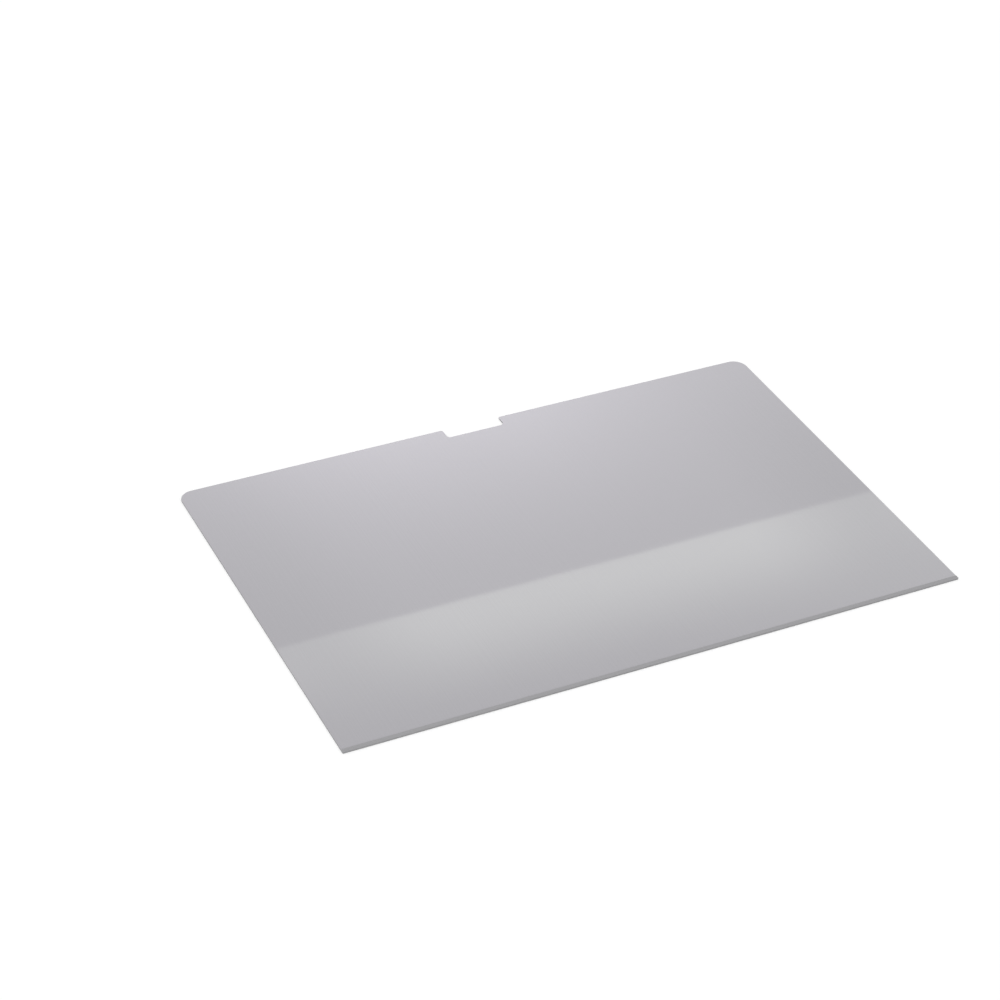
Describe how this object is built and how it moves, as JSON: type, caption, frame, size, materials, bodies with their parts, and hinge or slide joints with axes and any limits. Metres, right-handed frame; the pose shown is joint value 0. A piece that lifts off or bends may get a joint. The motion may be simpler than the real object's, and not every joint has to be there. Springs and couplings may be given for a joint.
{
  "type": "laptop privacy filter",
  "caption": "Thin satin grey louvre film that covers a notebook screen, with rounded top corners, a camera notch and a magnetic bar along its bottom edge.",
  "frame": {"origin": "middle of the outline on the rear face, the face that goes against the screen", "axes": "+X along the screen's width, +Y towards the camera edge, +Z out of the viewing face"},
  "size_m": [0.352, 0.235, 0.0009],
  "materials": {
    "louvre_film": "satin light grey film with a faint violet cast, fine louvres inside and a soft sheen",
    "magnet_rubber": "matt mid grey flexible magnet"
  },
  "bodies": {
    "root": {"privacy_film": "louvre_film", "magnetic_bar": "magnet_rubber"}
  },
  "joints": []
}
